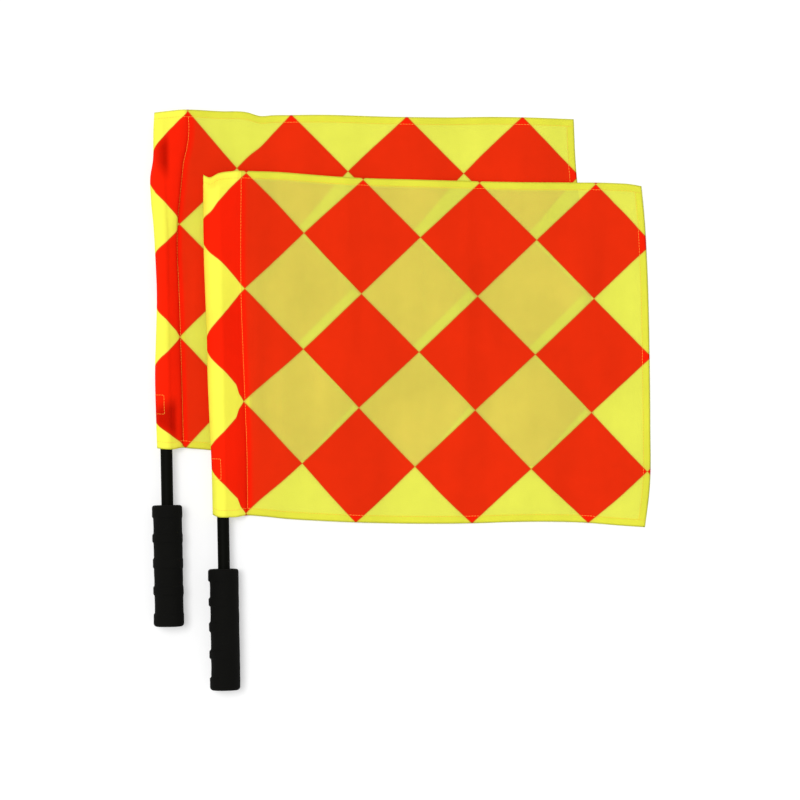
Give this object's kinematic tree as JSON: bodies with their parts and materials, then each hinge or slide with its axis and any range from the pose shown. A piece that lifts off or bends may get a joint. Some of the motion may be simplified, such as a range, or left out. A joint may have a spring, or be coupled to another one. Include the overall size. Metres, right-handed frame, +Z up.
{
  "type": "linesman flag pair",
  "caption": "Pair of linesman flags: diamond-patterned cloths on plastic tubes with ridged foam grips, one laid over the other.",
  "frame": {"origin": "on the surface that the pair lies on, under the middle of the whole pair's box", "axes": "+Z up out of the surface, +Y along both poles from grip to tip, +X from the poles towards the fly edges"},
  "size_m": [0.5016, 0.5782, 0.0305],
  "materials": {
    "printed_cloth": "plain-weave polyester printed with red diamonds on bright yellow",
    "thread": "polyester sewing thread, lock-stitched",
    "tab_tape": "brushed elastic tape",
    "grip_foam": "fine closed-cell foam, matt",
    "tube_plastic": "extruded black plastic, satin",
    "cap_plastic": "moulded black plastic, matt"
  },
  "bodies": {
    "rear_pole": {"rear_grip": "grip_foam", "rear_shaft_tube": "tube_plastic", "rear_tip_cap": "cap_plastic", "rear_foot_plug": "cap_plastic"},
    "rear_flag": {"rear_cloth": "printed_cloth", "rear_grip_tab": "tab_tape", "rear_tab_stitching": "thread", "rear_sleeve_seam": "thread", "rear_head_seam": "thread", "rear_fly_seam": "thread", "rear_foot_seam": "thread"},
    "front_pole": {"front_grip": "grip_foam", "front_shaft_tube": "tube_plastic", "front_tip_cap": "cap_plastic", "front_foot_plug": "cap_plastic"},
    "front_flag": {"front_cloth": "printed_cloth", "front_grip_tab": "tab_tape", "front_tab_stitching": "thread", "front_sleeve_seam": "thread", "front_head_seam": "thread", "front_fly_seam": "thread", "front_foot_seam": "thread"}
  },
  "joints": [
    {"name": "rear_cloth_turn", "type": "hinge", "parent": "rear_pole", "child": "rear_flag", "pos_m": [-0.23471, -0.2246, 0.01528], "axis": [0, 1, 0], "range_deg": [0, 180]},
    {"name": "front_flag_lift", "type": "slide", "parent": "rear_pole", "child": "front_pole", "axis": [0, 0, 1], "range_m": [0, 0.2]},
    {"name": "front_cloth_turn", "type": "hinge", "parent": "front_pole", "child": "front_flag", "pos_m": [-0.17941, -0.2891, 0.01528], "axis": [0, 1, 0], "range_deg": [-170, 0]}
  ]
}
